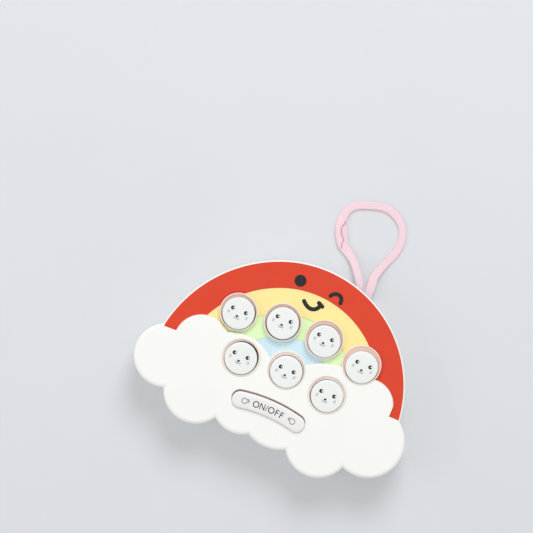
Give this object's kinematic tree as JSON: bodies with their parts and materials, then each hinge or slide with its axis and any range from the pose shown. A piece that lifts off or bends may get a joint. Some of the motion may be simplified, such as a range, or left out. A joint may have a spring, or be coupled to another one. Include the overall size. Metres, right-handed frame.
{
  "type": "handheld light game",
  "caption": "Pocket light game shaped like a rainbow in a cloud, with light-up push caps to whack, a power key, a battery door and a wrist strap.",
  "frame": {"origin": "middle of the case's outline, on the flat back face that it lies on", "axes": "+Z out of the front face, through the light caps; +Y towards the top of the rainbow; +X to the right as seen from the front"},
  "size_m": [0.0968, 0.0944, 0.0193],
  "materials": {
    "white_case": "smooth satin ABS, the rainbow's bands printed in colour",
    "frosted_cap": "translucent frosted plastic",
    "grey_key": "satin",
    "pink_strap": "soft flat band",
    "bar_steel": "plain",
    "screw_steel": "zinc plated",
    "cell_steel": "nickel plated",
    "contact_nickel": "nickel plated spring strip",
    "board_laminate": "brown paper laminate",
    "switch_black": "satin",
    "stem_red": "satin",
    "lamp_clear": "clear",
    "chip_resin": "cured resin",
    "speaker_grey": "satin"
  },
  "bodies": {
    "case": {"front_shell": "white_case", "back_shell": "white_case", "strap_bar": "bar_steel", "wrist_strap": "pink_strap", "circuit_board": "board_laminate", "chip_resin": "chip_resin", "lamp_1": "lamp_clear", "lamp_2": "lamp_clear", "lamp_3": "lamp_clear", "lamp_4": "lamp_clear", "lamp_5": "lamp_clear", "lamp_6": "lamp_clear", "lamp_7": "lamp_clear", "switch_body_1": "switch_black", "switch_body_2": "switch_black", "switch_body_3": "switch_black", "switch_body_4": "switch_black", "switch_body_5": "switch_black", "switch_body_6": "switch_black", "switch_body_7": "switch_black", "power_switch_body": "switch_black", "button_cell_1": "cell_steel", "button_cell_2": "cell_steel", "button_cell_3": "cell_steel", "contact_plus": "contact_nickel", "contact_link_roof": "contact_nickel", "contact_minus": "contact_nickel", "board_screw_1": "screw_steel", "board_screw_2": "screw_steel", "loudspeaker": "speaker_grey", "case_screw_1": "screw_steel", "case_screw_2": "screw_steel", "case_screw_3": "screw_steel", "case_screw_4": "screw_steel"},
    "battery_door": {"battery_door": "white_case", "contact_link_door": "contact_nickel"},
    "door_screw": {"door_screw": "screw_steel"},
    "light_button_1": {"light_cap_1": "frosted_cap", "switch_stem_1": "stem_red"},
    "light_button_2": {"light_cap_2": "frosted_cap", "switch_stem_2": "stem_red"},
    "light_button_3": {"light_cap_3": "frosted_cap", "switch_stem_3": "stem_red"},
    "light_button_4": {"light_cap_4": "frosted_cap", "switch_stem_4": "stem_red"},
    "light_button_5": {"light_cap_5": "frosted_cap", "switch_stem_5": "stem_red"},
    "light_button_6": {"light_cap_6": "frosted_cap", "switch_stem_6": "stem_red"},
    "light_button_7": {"light_cap_7": "frosted_cap", "switch_stem_7": "stem_red"},
    "power_key": {"power_button": "grey_key", "power_switch_stem": "stem_red"}
  },
  "joints": [
    {"name": "press_1", "type": "slide", "parent": "case", "child": "light_button_1", "axis": [0, 0, -1], "range_m": [0, 0.0008], "stiffness_N_per_m": 600, "springref_m": -0.0008},
    {"name": "press_2", "type": "slide", "parent": "case", "child": "light_button_2", "axis": [0, 0, -1], "range_m": [0, 0.0008], "stiffness_N_per_m": 600, "springref_m": -0.0008},
    {"name": "press_3", "type": "slide", "parent": "case", "child": "light_button_3", "axis": [0, 0, -1], "range_m": [0, 0.0008], "stiffness_N_per_m": 600, "springref_m": -0.0008},
    {"name": "press_4", "type": "slide", "parent": "case", "child": "light_button_4", "axis": [0, 0, -1], "range_m": [0, 0.0008], "stiffness_N_per_m": 600, "springref_m": -0.0008},
    {"name": "press_5", "type": "slide", "parent": "case", "child": "light_button_5", "axis": [0, 0, -1], "range_m": [0, 0.0008], "stiffness_N_per_m": 600, "springref_m": -0.0008},
    {"name": "press_6", "type": "slide", "parent": "case", "child": "light_button_6", "axis": [0, 0, -1], "range_m": [0, 0.0008], "stiffness_N_per_m": 600, "springref_m": -0.0008},
    {"name": "press_7", "type": "slide", "parent": "case", "child": "light_button_7", "axis": [0, 0, -1], "range_m": [0, 0.0008], "stiffness_N_per_m": 600, "springref_m": -0.0008},
    {"name": "press_power", "type": "slide", "parent": "case", "child": "power_key", "axis": [0, 0, -1], "range_m": [0, 0.0008], "stiffness_N_per_m": 600, "springref_m": -0.0008},
    {"name": "battery_door_swing", "type": "hinge", "parent": "case", "child": "battery_door", "pos_m": [0.0014, 0.01172, 0], "axis": [1, 0, 0], "range_deg": [0, 50]},
    {"name": "door_screw_turn", "type": "hinge", "parent": "battery_door", "child": "door_screw", "pos_m": [0.0014, -0.00488, 0], "axis": [0, 0, 1], "continuous": true}
  ]
}
